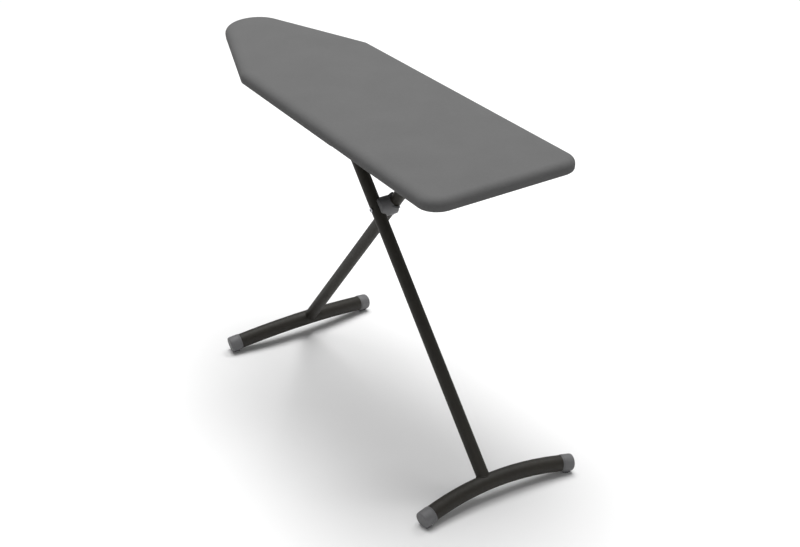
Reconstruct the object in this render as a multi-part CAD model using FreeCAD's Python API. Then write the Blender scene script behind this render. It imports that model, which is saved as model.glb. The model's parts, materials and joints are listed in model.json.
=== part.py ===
"""Ironing board with crossed single-tube T legs and a stepless friction clutch.

Frame: millimetres, +X towards the broad heel, +Y to the left of it, +Z up. The origin lies on
the floor, under the middle of the board. Every node is one STEP file in parts/.
"""
import FreeCAD, Part
import math
import os

Vector = FreeCAD.Vector

# ---- board: driving dimensions -------------------------------------------------------------
board_length = 1244.0
heel_width = 408.0
heel_corner_radius = 50.0
shoulder_width = 373.0
shoulder_radius = 30.0
shoulder_from_heel = 890.0
nose_radius = 83.0
surface_height = 860.0
cover_skirt = 31.8
edge_round = 18.0
cover_cloth = 1.4
hem_width = 17.0
pad_thickness = 8.0
pad_edge_cut = 7.0
pad_inset = 11.0
cloth_gap = 0.3
top_sheet = 1.0
top_inset = 4.0
rim_sheet = 1.2
rim_flange = 12.0
vent_radius = 15.0
vent_pitch_x = 77.0
vent_pitch_y = 70.0
vent_margin = 38.0
stay_width = 34.0
stay_crown = 18.0
stay_depth = 13.0
stay_sheet = 1.2
stay_end_gap = 0.3

# ---- legs ----------------------------------------------------------------------------------
leg_angle = 49.1
upper_arm = 289.83
leg_radius = 16.0
leg_wall = 1.2
leg_offset = 23.5
leg_end_past_axle = 14.0
foot_cope_angle = 5.0
axle_radius = 10.0
axle_wall = 2.0
axle_half_length = 102.0
pivot_x = 96.6
foot_radius = 20.0
foot_wall = 1.5
foot_span = 436.0
foot_sag = 29.0
foot_end_run = 38.0
foot_end_height = 21.6
plug_flange = 2.0
plug_depth = 8.0
plug_wall = 2.0

# ---- foot caps -----------------------------------------------------------------------------
cap_length = 28.0
cap_end_wall = 5.0
cap_wall = 1.4
cap_end_cut = 4.0
cap_collar_length = 4.0
cap_collar_wall = 0.6
cap_fit = 0.05
sole_half_width = 9.0
sole_length = 16.0
sole_height = 5.0
sole_corner = 4.0

# ---- crossing pivot ------------------------------------------------------------------------
boss_radius = 25.0
boss_edge_cut = 3.0
saddle_lip = 1.5
sleeve_wall = 4.2
sleeve_half_length = 22.0
sleeve_lip_wall = 6.6
sleeve_lip_length = 7.0
sleeve_mouth_gap = 1.8
sleeve_mouth_depth = 7.0
moulding_fit = 0.05
moulding_gap = 0.3
rivet_radius = 4.0
rivet_head_radius = 6.5
rivet_head_height = 2.2
rivet_edge_cut = 0.8
rivet_hollow_radius = 2.8
rivet_hollow_depth = 9.0
washer_radius = 9.0
washer_sheet = 1.2
running_clearance = 0.06

# ---- hinge brackets under the board ----------------------------------------------------------
axle_drop = 56.0
bracket_sheet = 2.0
bracket_ear_radius = 17.0
bracket_base_length = 76.0
bracket_base_width = 24.0
bracket_inset = 6.0
push_nut_radius = 14.0
push_nut_sheet = 1.5

# ---- slide rails and carriage ----------------------------------------------------------------
rail_spare_front = 51.6
rail_spare_rear = 59.2
rail_sheet = 1.5
rail_flange = 15.5
shoe_half_height = 12.0
shoe_half_length = 18.0
shoe_clearance = 0.3
shoe_corner = 3.0
rod_radius = 5.0
rod_side = 22.0
rod_above_axle = 24.0
rod_bracket_sheet = 2.5
rod_bracket_width = 20.0
rod_bracket_foot = 16.0
rod_hole_clearance = 0.06
housing_sheet = 1.5
housing_half_width = 14.0
housing_front = 46.0
housing_rear = 13.0
housing_over_axle = 1.0
housing_ear_top = 12.0
housing_under_axle = 3.0
housing_rod_clearance = 0.4
housing_slot_half_width = 5.0
housing_slot_front = 40.0
housing_slot_rear = 18.0

# ---- clutch ----------------------------------------------------------------------------------
plate_thickness = 3.0
plate_half_width = 11.0
plate_above_rod = 13.0
plate_below_rod = 11.0
plate_lean = 4.0
plate_spacing = 3.6
plate_count = 2
plate_hole_clearance = 0.45
plate_station = 27.0
spring_wire = 0.9
spring_radius = 7.6
spring_turns = 5.0
spring_runs_per_turn = 12
spring_wire_flats = 6
spring_seat_gap = 0.6

# ---- release lever ---------------------------------------------------------------------------
lever_radius = 3.5
lever_station = 32.0
lever_above_axle = 4.0
lever_side = 76.0
lever_reach = 130.0
lever_bend = 14.0
lever_inner_gap = 1.5
finger_thickness = 4.0
finger_half_width = 4.0
finger_rise = 11.5
finger_gap = 0.5
grip_radius = 9.0
grip_length = 84.0
grip_edge_cut = 3.0
grip_end_wall = 4.0

# ---- worked out from the sizes above ---------------------------------------------------------
half_length = board_length / 2.0
skirt_bottom = surface_height - cover_skirt
pad_top = surface_height - cover_cloth - cloth_gap
top_surface = pad_top - pad_thickness - cloth_gap
top_underside = top_surface - top_sheet
rim_bottom = skirt_bottom + cover_cloth + cloth_gap
axle_height = surface_height - axle_drop
leg_cos = math.cos(math.radians(leg_angle))
leg_sin = math.sin(math.radians(leg_angle))
pivot_height = axle_height - upper_arm * leg_sin
lower_arm = (pivot_height - foot_end_height) / leg_sin
hinge_x = pivot_x + upper_arm * leg_cos
carriage_x = pivot_x - upper_arm * leg_cos
rail_front = hinge_x - 2.0 * upper_arm - rail_spare_front
rail_rear = carriage_x + rail_spare_rear
rod_height = axle_height + rod_above_axle
foot_half = foot_span / 2.0
foot_tangent = (foot_half ** 2 + foot_sag ** 2 - foot_end_run ** 2) / (2.0 * (foot_half + foot_end_run))
foot_bend = math.atan2(foot_sag, foot_half - foot_tangent)
foot_bend_radius = foot_tangent / math.tan(foot_bend / 2.0)
rail_web_inner = axle_half_length + 2.0

X_AXIS = Vector(1, 0, 0)
Y_AXIS = Vector(0, 1, 0)
Z_AXIS = Vector(0, 0, 1)


# ---- small helpers ---------------------------------------------------------------------------
def save(node, shape):
    """Write one node's solid or group of solids."""
    shape.exportStep("parts/" + node + ".step")
    print(node, len(shape.Solids), round(shape.Volume, 1), shape.isValid())


def box(low, high):
    """A box between two corners."""
    size = high.sub(low)
    return Part.makeBox(size.x, size.y, size.z, low)


def prism(points, travel):
    """A polygon through the points, pushed along a vector."""
    return Part.Face(Part.makePolygon(points + [points[0]])).extrude(travel)


def edges_along(shape, direction):
    """The straight edges that run along a direction."""
    found = []
    for edge in shape.Edges:
        if not isinstance(edge.Curve, Part.Line):
            continue
        if edge.tangentAt(edge.FirstParameter).cross(direction).Length < 1e-6:
            found.append(edge)
    return found


def edges_at_height(shape, height):
    """The edges that lie wholly at one height."""
    found = []
    for edge in shape.Edges:
        if abs(edge.BoundBox.ZMin - height) < 1e-5 and abs(edge.BoundBox.ZMax - height) < 1e-5:
            found.append(edge)
    return found


# ---- board outline ---------------------------------------------------------------------------
def outline_circles(inset):
    """Centres and radii of the circles that the outline wraps, counter-clockwise from the heel."""
    heel_x = half_length - heel_corner_radius
    heel_y = heel_width / 2.0 - heel_corner_radius
    shoulder_x = half_length - shoulder_from_heel
    shoulder_y = shoulder_width / 2.0 - shoulder_radius
    nose_x = nose_radius - half_length
    return [
        (Vector(heel_x, heel_y, 0), heel_corner_radius - inset),
        (Vector(shoulder_x, shoulder_y, 0), shoulder_radius - inset),
        (Vector(nose_x, 0, 0), nose_radius - inset),
        (Vector(shoulder_x, -shoulder_y, 0), shoulder_radius - inset),
        (Vector(heel_x, -heel_y, 0), heel_corner_radius - inset),
    ]


def tangent_normal(first, second):
    """Outward unit normal of the line that touches two circles on their right-hand side."""
    run = second[0].sub(first[0])
    turn = math.acos((first[1] - second[1]) / run.Length)
    angle = math.atan2(run.y, run.x) - turn
    return Vector(math.cos(angle), math.sin(angle), 0)


def board_outline(inset, height):
    """Closed wire of tangent arcs and lines, moved in from the cover's edge by the inset."""
    circles = outline_circles(inset)
    count = len(circles)
    normals = [tangent_normal(circles[i], circles[(i + 1) % count]) for i in range(count)]
    lift = Vector(0, 0, height)
    edges = []
    for i in range(count):
        centre, radius = circles[i]
        start = centre + normals[i - 1] * radius + lift
        end = centre + normals[i] * radius + lift
        middle = (normals[i - 1] + normals[i]).normalize()
        edges.append(Part.Arc(start, centre + middle * radius + lift, end).toShape())
        next_centre, next_radius = circles[(i + 1) % count]
        edges.append(Part.LineSegment(end, next_centre + normals[i] * next_radius + lift).toShape())
    return Part.Wire(edges)


def board_slab(inset, bottom, top, rounding):
    """A slab of the board's outline, rounded along its top edge."""
    slab = Part.Face(board_outline(inset, bottom)).extrude(Z_AXIS * (top - bottom))
    if rounding > 0:
        slab = slab.makeFillet(rounding, edges_at_height(slab, top))
    return slab


def half_width_at(x, inset):
    """Half the outline's width at one place along the board."""
    blade = Part.makeLine(Vector(x, 0, 0), Vector(x, heel_width, 0))
    near = Part.Face(board_outline(inset, 0)).common(blade)
    return near.BoundBox.YMax


# ---- board pieces ----------------------------------------------------------------------------
def make_cover():
    """Fitted cloth cover: a skin over the pad with a hem turned in under the rim."""
    skin = board_slab(0, skirt_bottom, surface_height, edge_round)
    inside = board_slab(cover_cloth, skirt_bottom + cover_cloth, surface_height - cover_cloth,
                        edge_round - cover_cloth)
    mouth = board_slab(hem_width, skirt_bottom - 1.0, skirt_bottom + 2.0 * cover_cloth, 0)
    return skin.cut([inside, mouth])


def make_pad():
    """Foam pad on the steel top, its upper edge cut back to follow the cover's rolled edge."""
    pad = board_slab(pad_inset, pad_top - pad_thickness, pad_top, 0)
    return pad.makeChamfer(pad_edge_cut, edges_at_height(pad, pad_top))


def vent_prisms():
    """Hexagonal steam vents on a grid, wherever a whole one fits inside the margin."""
    field = Part.Face(board_outline(top_inset + vent_margin - vent_radius, 0))
    columns = int(half_length // vent_pitch_x) + 1
    rows = int(heel_width / 2.0 // vent_pitch_y) + 1
    vents = []
    for column in range(-columns, columns + 1):
        for row in range(-rows, rows + 1):
            centre = Vector((column + 0.5) * vent_pitch_x, row * vent_pitch_y, 0)
            corners = []
            for corner in range(6):
                angle = math.radians(60.0 * corner + 30.0)
                corners.append(centre + Vector(math.cos(angle), math.sin(angle), 0) * vent_radius)
            if all(field.isInside(point, 1e-6, True) for point in corners):
                low = [point + Z_AXIS * (top_underside - 1.0) for point in corners]
                vents.append(prism(low, Z_AXIS * (top_sheet + 2.0)))
    return vents


def make_steel_top():
    """Pressed and vented sheet that carries the pad."""
    return board_slab(top_inset, top_underside, top_surface, 0).cut(vent_prisms())


def make_rim_channel():
    """Rim welded under the sheet all round: an upright wall with a flange turned inward below."""
    wall = board_slab(top_inset, rim_bottom, top_underside, 0)
    inside = board_slab(top_inset + rim_sheet, rim_bottom + rim_sheet, top_underside, 0)
    mouth = board_slab(top_inset + rim_flange, rim_bottom, top_underside, 0)
    return wall.cut([inside, mouth])


def stay_stations():
    """Places of the cross stays between rows of vents: past the rails, between, and past the hinge."""
    front = -math.ceil((rod_bracket_foot + stay_width - rail_front) / vent_pitch_x)
    middle = round((rail_rear + hinge_x) / 2.0 / vent_pitch_x)
    rear = math.ceil((hinge_x + bracket_base_length + stay_width) / vent_pitch_x)
    return [pitches * vent_pitch_x for pitches in (front, middle, rear)]


def make_cross_stay(station):
    """Top-hat stiffener across the underside of the steel top."""
    foot = stay_width / 2.0
    inset = top_inset + rim_sheet + stay_end_gap
    reach = min(half_width_at(station - foot, inset), half_width_at(station + foot, inset))
    low = top_underside - stay_depth
    crown = stay_crown / 2.0
    sheet = stay_sheet
    profile = [
        Vector(station - foot, -reach, top_underside),
        Vector(station - foot, -reach, top_underside - sheet),
        Vector(station - crown - sheet, -reach, top_underside - sheet),
        Vector(station - crown, -reach, low),
        Vector(station + crown, -reach, low),
        Vector(station + crown + sheet, -reach, top_underside - sheet),
        Vector(station + foot, -reach, top_underside - sheet),
        Vector(station + foot, -reach, top_underside),
        Vector(station + crown, -reach, top_underside),
        Vector(station + crown - sheet, -reach, low + sheet),
        Vector(station - crown + sheet, -reach, low + sheet),
        Vector(station - crown, -reach, top_underside),
    ]
    return prism(profile, Y_AXIS * (2.0 * reach))


def make_slide_rail(side):
    """Open rail on the underside that guides one slide shoe of the carriage."""
    upper = axle_height + shoe_half_height + shoe_clearance
    lower = axle_height - shoe_half_height - shoe_clearance
    outer = rail_web_inner + rail_sheet
    lip = outer - rail_flange
    levels = [
        (lip, top_underside), (lip, top_underside - rail_sheet),
        (rail_web_inner, top_underside - rail_sheet), (rail_web_inner, upper + rail_sheet),
        (lip, upper + rail_sheet), (lip, upper), (rail_web_inner, upper), (rail_web_inner, lower),
        (lip, lower), (lip, lower - rail_sheet), (outer, lower - rail_sheet), (outer, top_underside),
    ]
    profile = [Vector(rail_front, side * y, z) for y, z in levels]
    return prism(profile, X_AXIS * (rail_rear - rail_front))


def make_hinge_bracket(side):
    """Bent steel bracket whose ear holds one end of the fixed axle."""
    ear_face = axle_half_length - bracket_inset
    half_base = bracket_base_length / 2.0
    base_low = Vector(hinge_x - half_base, 0, top_underside - bracket_sheet)
    base = box(base_low, base_low + Vector(bracket_base_length, bracket_base_width, bracket_sheet))
    slope = Vector(half_base, 0, top_underside - axle_height)
    lean = math.atan2(slope.z, slope.x) - math.acos(bracket_ear_radius / slope.Length)
    touch = Vector(math.cos(lean), 0, math.sin(lean)) * bracket_ear_radius
    middle = Vector(hinge_x, 0, axle_height)
    right = middle + touch
    left = middle + Vector(-touch.x, 0, touch.z)
    edges = [
        Part.LineSegment(Vector(hinge_x - half_base, 0, top_underside), left).toShape(),
        Part.Arc(left, middle - Z_AXIS * bracket_ear_radius, right).toShape(),
        Part.LineSegment(right, Vector(hinge_x + half_base, 0, top_underside)).toShape(),
        Part.LineSegment(Vector(hinge_x + half_base, 0, top_underside),
                         Vector(hinge_x - half_base, 0, top_underside)).toShape(),
    ]
    ear = Part.Face(Part.Wire(edges)).extrude(Y_AXIS * bracket_sheet)
    bore = Part.makeCylinder(axle_radius + running_clearance, bracket_sheet, middle, Y_AXIS)
    bracket = base.fuse(ear.cut(bore)).removeSplitter()
    bracket.translate(Vector(0, ear_face - bracket_sheet, 0))
    if side < 0:
        bracket = bracket.mirror(Vector(0, 0, 0), Y_AXIS)
    return bracket


def make_guide_rod():
    """Ground steel rod that the clutch plates grip."""
    start = Vector(rail_front, rod_side, rod_height)
    return Part.makeCylinder(rod_radius, rail_rear - rail_front, start, X_AXIS)


def make_rod_bracket(station, direction):
    """Bent bracket that carries one end of the guide rod under the steel top."""
    half = rod_bracket_width / 2.0
    low = rod_height - half
    face = station if direction > 0 else station - rod_bracket_sheet
    upright = box(Vector(face, rod_side - half, rod_height),
                  Vector(face + rod_bracket_sheet, rod_side + half, top_underside))
    lobe = Part.makeCylinder(half, rod_bracket_sheet, Vector(face, rod_side, low + half), X_AXIS)
    foot_low = station if direction > 0 else station - rod_bracket_foot
    foot = box(Vector(foot_low, rod_side - half, top_underside - rod_bracket_sheet),
               Vector(foot_low + rod_bracket_foot, rod_side + half, top_underside))
    hole = Part.makeCylinder(rod_radius + rod_hole_clearance, rod_bracket_sheet,
                             Vector(face, rod_side, rod_height), X_AXIS)
    return upright.fuse([lobe, foot]).removeSplitter().cut(hole)


# ---- legs ------------------------------------------------------------------------------------
class Leg:
    """Places of one T leg. The sense is +1 for the leg whose foot stands under the nose."""

    def __init__(self, sense):
        self.up = Vector(sense * leg_cos, 0, leg_sin)
        self.side = sense * leg_offset
        self.pivot = Vector(pivot_x, self.side, pivot_height)
        self.top = self.pivot + self.up * upper_arm
        chord = self.pivot - self.up * lower_arm
        self.foot_centre = Vector(chord.x, 0, chord.z)
        self.bend_centre = self.foot_centre + self.up * (foot_sag - foot_bend_radius)
        self.bend_axis = self.up.cross(Y_AXIS)
        self.turn_to_left = -1 if self.bend_axis.cross(self.up).y < 0 else 1

    def foot_sweep(self, radius, start_angle, end_angle):
        """A round bar along the foot's arc, between two angles from its middle."""
        middle = self.foot_centre + self.up * foot_sag
        disc = Part.Face(Part.Wire(Part.makeCircle(radius, middle, Y_AXIS)))
        disc.rotate(self.bend_centre, self.bend_axis, start_angle)
        return disc.revolve(self.bend_centre, self.bend_axis, end_angle - start_angle)

    def make_tube(self):
        """Straight leg tube, coped onto the foot and cross-drilled for its axle and the pivot."""
        start = self.pivot - self.up * (lower_arm - foot_sag)
        length = lower_arm - foot_sag + upper_arm + leg_end_past_axle
        tube = Part.makeCylinder(leg_radius, length, start, self.up)
        bore = Part.makeCylinder(leg_radius - leg_wall, length, start, self.up)
        axle_hole = self.cross_bar(self.top, axle_radius + moulding_fit, leg_radius * 2.0)
        pivot_hole = self.cross_bar(self.pivot, rivet_radius + running_clearance, leg_radius * 2.0)
        foot = self.foot_sweep(foot_radius, -foot_cope_angle, foot_cope_angle)
        return tube.cut([bore, axle_hole, pivot_hole, foot])

    def cross_bar(self, centre, radius, half_length_y):
        """A round bar along Y through a point of the leg."""
        return Part.makeCylinder(radius, 2.0 * half_length_y, centre - Y_AXIS * half_length_y, Y_AXIS)

    def make_axle(self):
        """Tubular cross axle through the leg's top end, long to both sides of the board."""
        start = Vector(self.top.x, -axle_half_length, self.top.z)
        bar = Part.makeCylinder(axle_radius, 2.0 * axle_half_length, start, Y_AXIS)
        bore = Part.makeCylinder(axle_radius - axle_wall, 2.0 * axle_half_length, start, Y_AXIS)
        return bar.cut(bore)

    def foot_end(self, side):
        """Middle of the foot's end face on one side, and the direction in which the tube ends."""
        point = self.foot_centre + Y_AXIS * (side * foot_half)
        return point, Y_AXIS * (side * math.cos(foot_bend)) - self.up * math.sin(foot_bend)

    def foot_bar(self, radius):
        """A round bar along the foot: one bend with a straight run at each end."""
        angle = math.degrees(foot_bend)
        runs = []
        for side in (-1, 1):
            point, out = self.foot_end(side)
            start = point - out * foot_end_run
            runs.append(Part.makeCylinder(radius, foot_end_run - cap_end_wall, start, out))
        return self.foot_sweep(radius, -angle, angle).fuse(runs).removeSplitter()

    def make_foot(self):
        """Bent foot tube, its ends down on the floor."""
        return self.foot_bar(foot_radius).cut(self.foot_bar(foot_radius - foot_wall))

    def make_cap(self, side):
        """Moulded end cap: a bevelled end, a thin collar where the tube leaves it and a flat sole."""
        point, out = self.foot_end(side)
        shell = Part.makeCylinder(foot_radius + cap_wall, cap_length, point - out * cap_length, out)
        end_edges = [edge for edge in shell.Edges if edge.CenterOfMass.distanceToPoint(point) < 1.0]
        shell = shell.makeChamfer(cap_end_cut, end_edges[:1])
        grip_length = cap_length + cap_collar_length
        collar = Part.makeCylinder(foot_radius + cap_collar_wall, grip_length - cap_end_cut,
                                   point - out * grip_length, out)
        bore = Part.makeCylinder(foot_radius + cap_fit, grip_length - cap_end_wall,
                                 point - out * grip_length, out)
        reach = Vector(foot_span, foot_span, 0)
        below = box(point - reach - Z_AXIS * foot_span, Vector(point.x, point.y, 0) + reach)
        return shell.fuse([collar, self.make_sole(point, side)]).cut([bore, below]).removeSplitter()

    def make_sole(self, end_point, side):
        """Flat pad under a cap, with rounded corners."""
        outer = end_point.y - side * cap_end_cut
        inner = outer - side * sole_length
        low = Vector(end_point.x - sole_half_width, min(inner, outer), 0)
        high = Vector(end_point.x + sole_half_width, max(inner, outer), sole_height)
        pad = box(low, high)
        return pad.makeFillet(sole_corner, edges_along(pad, Z_AXIS))

    def make_top_plug(self):
        """Plug that closes the top end of the leg tube."""
        end = self.top + self.up * leg_end_past_axle
        flange = Part.makeCylinder(leg_radius, plug_flange, end, self.up)
        spigot = Part.makeCylinder(leg_radius - leg_wall - moulding_fit, plug_depth,
                                   end - self.up * plug_depth, self.up)
        hollow = Part.makeCylinder(leg_radius - leg_wall - plug_wall, plug_depth,
                                   end - self.up * plug_depth, self.up)
        axle = self.cross_bar(self.top, axle_radius + moulding_fit, leg_radius)
        return flange.fuse(spigot.cut(hollow)).removeSplitter().cut(axle)


def make_pivot_saddle(leg):
    """Moulded half that hugs the heel leg and faces the other half across the pivot."""
    start = Vector(leg.pivot.x, leg.side - saddle_lip, leg.pivot.z)
    length = -moulding_gap / 2.0 - start.y
    boss = Part.makeCylinder(boss_radius, length, start, Y_AXIS)
    rim = [edge for edge in boss.Edges if edge.BoundBox.YMax < start.y + 1e-6]
    boss = boss.makeChamfer(boss_edge_cut, rim)
    tube_length = 4.0 * boss_radius
    tube = Part.makeCylinder(leg_radius + moulding_fit, tube_length,
                             leg.pivot - leg.up * (tube_length / 2.0), leg.up)
    hole = leg.cross_bar(leg.pivot, rivet_radius + running_clearance, 2.0 * boss_radius)
    return boss.cut([tube, hole])


def make_pivot_sleeve(leg):
    """Moulded half that cradles the nose leg, with a flared lip where the tube runs on upward."""
    start = leg.pivot - leg.up * sleeve_half_length
    outer = leg_radius + sleeve_wall
    body = Part.makeCylinder(outer, 2.0 * sleeve_half_length, start, leg.up)
    flare = Part.makeCone(outer, leg_radius + sleeve_lip_wall, sleeve_lip_length,
                          leg.pivot + leg.up * (sleeve_half_length - sleeve_lip_length), leg.up)
    boss_start = Vector(leg.pivot.x, moulding_gap / 2.0, leg.pivot.z)
    boss = Part.makeCylinder(boss_radius, leg.side + saddle_lip - boss_start.y, boss_start, Y_AXIS)
    sleeve = body.fuse([flare, boss]).removeSplitter()
    tube_length = 4.0 * boss_radius
    tube = Part.makeCylinder(leg_radius + moulding_fit, tube_length,
                             leg.pivot - leg.up * (tube_length / 2.0), leg.up)
    hole = leg.cross_bar(leg.pivot, rivet_radius + moulding_fit, 2.0 * boss_radius)
    reach = 2.0 * boss_radius
    keep = box(Vector(pivot_x - reach, moulding_gap / 2.0, pivot_height - reach),
               Vector(pivot_x + reach, leg.side + saddle_lip, pivot_height + reach))
    mouth_base = leg.pivot + leg.up * (sleeve_half_length - sleeve_mouth_depth)
    mouth = Part.makeCone(leg_radius, leg_radius + sleeve_mouth_gap, sleeve_mouth_depth, mouth_base, leg.up)
    return sleeve.common(keep).cut([tube, hole, mouth])


def make_pivot_rivet(heel_leg, nose_leg):
    """Tubular rivet through both legs: a ring-shaped head on the heel leg's side."""
    near = heel_leg.side - leg_radius - moulding_gap
    far = nose_leg.side + leg_radius + washer_sheet + moulding_gap + rivet_head_height
    base = Vector(pivot_x, near - rivet_head_height, pivot_height)
    shank = Part.makeCylinder(rivet_radius, far - base.y, base, Y_AXIS)
    head = Part.makeCylinder(rivet_head_radius, rivet_head_height, base, Y_AXIS)
    head = head.makeChamfer(rivet_edge_cut, [head.Edges[0], head.Edges[2]])
    tail = Part.makeCylinder(rivet_head_radius, rivet_head_height,
                             Vector(pivot_x, far - rivet_head_height, pivot_height), Y_AXIS)
    hollow = Part.makeCylinder(rivet_hollow_radius, rivet_hollow_depth, base, Y_AXIS)
    return shank.fuse([head, tail]).removeSplitter().cut(hollow)


def make_pivot_washer(leg):
    """Flat washer between the nose leg and the rivet's far head."""
    base = Vector(pivot_x, leg.side + leg_radius + moulding_gap / 2.0, pivot_height)
    washer = Part.makeCylinder(washer_radius, washer_sheet, base, Y_AXIS)
    hole = Part.makeCylinder(rivet_radius + moulding_fit, washer_sheet, base, Y_AXIS)
    return washer.cut(hole)


def make_push_nuts(leg):
    """Two pressed caps on the ends of the fixed axle."""
    nuts = []
    for side in (-1, 1):
        face = Vector(leg.top.x, side * axle_half_length, leg.top.z)
        cap = Part.makeCylinder(push_nut_radius, push_nut_sheet, face, Y_AXIS * side)
        skirt = Part.makeCylinder(axle_radius + push_nut_sheet, bracket_inset / 2.0, face, Y_AXIS * -side)
        bore = Part.makeCylinder(axle_radius + moulding_fit, bracket_inset / 2.0, face, Y_AXIS * -side)
        nuts.append(cap.fuse(skirt.cut(bore)).removeSplitter())
    return Part.makeCompound(nuts)


# ---- carriage, clutch and lever ----------------------------------------------------------------
def make_slide_shoe(side):
    """Plastic shoe that turns on the sliding axle's end and runs in its rail."""
    inner = rail_web_inner + rail_sheet - rail_flange
    outer = rail_web_inner - shoe_clearance
    low = Vector(carriage_x - shoe_half_length, inner, axle_height - shoe_half_height)
    shoe = box(low, Vector(carriage_x + shoe_half_length, outer, axle_height + shoe_half_height))
    shoe = shoe.makeFillet(shoe_corner, edges_along(shoe, Y_AXIS))
    seat = Part.makeCylinder(axle_radius + running_clearance,
                             axle_half_length + running_clearance - inner,
                             Vector(carriage_x, inner, axle_height), Y_AXIS)
    shoe = shoe.cut(seat)
    if side < 0:
        shoe = shoe.mirror(Vector(0, 0, 0), Y_AXIS)
    return shoe


def make_clutch_housing():
    """Bent steel housing on the sliding axle, with an ear round the guide rod at each end."""
    base_z = axle_height + axle_radius + housing_over_axle
    front = carriage_x - housing_front
    rear = carriage_x + housing_rear
    left = rod_side - housing_half_width
    right = rod_side + housing_half_width
    sheet = housing_sheet
    ear_top = rod_height + housing_ear_top
    base = box(Vector(front, left, base_z), Vector(rear, right, base_z + sheet))
    pieces = []
    for face in (front, rear - sheet):
        pieces.append(box(Vector(face, left, base_z), Vector(face + sheet, right, ear_top)))
    cheek_low = axle_height - axle_radius - housing_under_axle
    front_low = axle_height + lever_above_axle - lever_radius - housing_under_axle
    for face in (left, right - sheet):
        outline = [
            Vector(front, face, base_z + sheet),
            Vector(front, face, front_low),
            Vector(carriage_x - housing_rear - axle_radius, face, front_low),
            Vector(carriage_x - housing_rear, face, cheek_low),
            Vector(rear, face, cheek_low),
            Vector(rear, face, base_z + sheet),
        ]
        pieces.append(prism(outline, Y_AXIS * sheet))
    housing = base.fuse(pieces).removeSplitter()
    width = right - left
    axle_bore = Part.makeCylinder(axle_radius + running_clearance, width,
                                  Vector(carriage_x, left, axle_height), Y_AXIS)
    lever_bore = Part.makeCylinder(lever_radius + running_clearance, width,
                                   Vector(carriage_x - lever_station, left,
                                          axle_height + lever_above_axle), Y_AXIS)
    rod_bore = Part.makeCylinder(rod_radius + housing_rod_clearance, rear - front,
                                 Vector(front, rod_side, rod_height), X_AXIS)
    slot_low = Vector(carriage_x - housing_slot_front, rod_side - housing_slot_half_width, base_z)
    slot_high = Vector(carriage_x - housing_slot_rear, rod_side + housing_slot_half_width, base_z + sheet)
    slot = box(slot_low, slot_high)
    return housing.cut([axle_bore, lever_bore, rod_bore, slot])


def plate_stack():
    """Locking plates upright on the rod, before they lean, each with a rounded top edge to rock on."""
    plates = []
    half = plate_thickness / 2.0
    for index in range(plate_count):
        x = carriage_x - plate_station + index * plate_spacing
        low = Vector(x, rod_side - plate_half_width, rod_height - plate_below_rod)
        round_z = rod_height + plate_above_rod - half
        plate = box(low, Vector(x + plate_thickness, rod_side + plate_half_width, round_z))
        top_edge = Part.makeCylinder(half, 2.0 * plate_half_width,
                                     Vector(x + half, rod_side - plate_half_width, round_z), Y_AXIS)
        plate = plate.fuse(top_edge).removeSplitter()
        hole = Part.makeCylinder(rod_radius + plate_hole_clearance, plate_thickness,
                                 Vector(x, rod_side, rod_height), X_AXIS)
        plates.append(plate.cut(hole))
    return plates


def make_clutch_plates():
    """The locking plates, each leaning on the rod about its own hole."""
    leaning = []
    for index, plate in enumerate(plate_stack()):
        x = carriage_x - plate_station + index * plate_spacing + plate_thickness / 2.0
        plate.rotate(Vector(x, rod_side, rod_height), Y_AXIS, plate_lean)
        leaning.append(plate)
    return Part.makeCompound(leaning)


def make_clutch_spring():
    """Coil spring round the guide rod, between the plates and the housing's rear ear.

    The wire follows short straight runs round the coil and has flats, which keeps its faces few.
    """
    rear = carriage_x + housing_rear - housing_sheet - spring_wire - spring_seat_gap
    last_plate = carriage_x - plate_station + (plate_count - 1) * plate_spacing + plate_thickness
    lean_reach = spring_radius * math.tan(math.radians(plate_lean))
    front = last_plate + lean_reach + spring_wire + spring_seat_gap
    steps = int(spring_turns * spring_runs_per_turn)
    spine = []
    for step in range(steps + 1):
        angle = math.radians(360.0 * step / spring_runs_per_turn)
        x = front + (rear - front) * step / steps
        y = rod_side + spring_radius * math.cos(angle)
        spine.append(Vector(x, y, rod_height + spring_radius * math.sin(angle)))
    along = spine[1] - spine[0]
    out = Vector(0, 1, 0)
    across = along.cross(out).normalize()
    flats = []
    for corner in range(spring_wire_flats + 1):
        angle = math.radians(360.0 * corner / spring_wire_flats)
        flats.append(spine[0] + (out * math.cos(angle) + across * math.sin(angle)) * spring_wire)
    sweep = Part.BRepOffsetAPI.MakePipeShell(Part.makePolygon(spine))
    sweep.setTransitionMode(1)
    sweep.setFrenetMode(True)
    sweep.add(Part.makePolygon(flats))
    sweep.build()
    sweep.makeSolid()
    return sweep.shape()


def make_release_lever():
    """Bent round lever: a shaft in the housing's cheeks, a finger at the plates, an arm to the grip."""
    x = carriage_x - lever_station
    z = axle_height + lever_above_axle
    inner = rod_side - housing_half_width - lever_inner_gap
    corner_y = Vector(x, lever_side - lever_bend, z)
    corner_x = Vector(x - lever_bend, lever_side, z)
    tip = Vector(x - lever_reach, lever_side, z)
    shaft = Part.makeCylinder(lever_radius, corner_y.y - inner, Vector(x, inner, z), Y_AXIS)
    bend_centre = Vector(x - lever_bend, lever_side - lever_bend, z)
    disc = Part.Face(Part.Wire(Part.makeCircle(lever_radius, corner_y, Y_AXIS)))
    bend = disc.revolve(bend_centre, Z_AXIS, 90.0)
    arm = Part.makeCylinder(lever_radius, corner_x.x - tip.x, corner_x, X_AXIS * -1.0)
    face = carriage_x - plate_station - finger_gap - plate_below_rod * math.tan(math.radians(plate_lean))
    finger = box(Vector(face - finger_thickness, rod_side - finger_half_width, z),
                 Vector(face, rod_side + finger_half_width, z + finger_rise))
    return shaft.fuse([bend, arm, finger]).removeSplitter()


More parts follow.
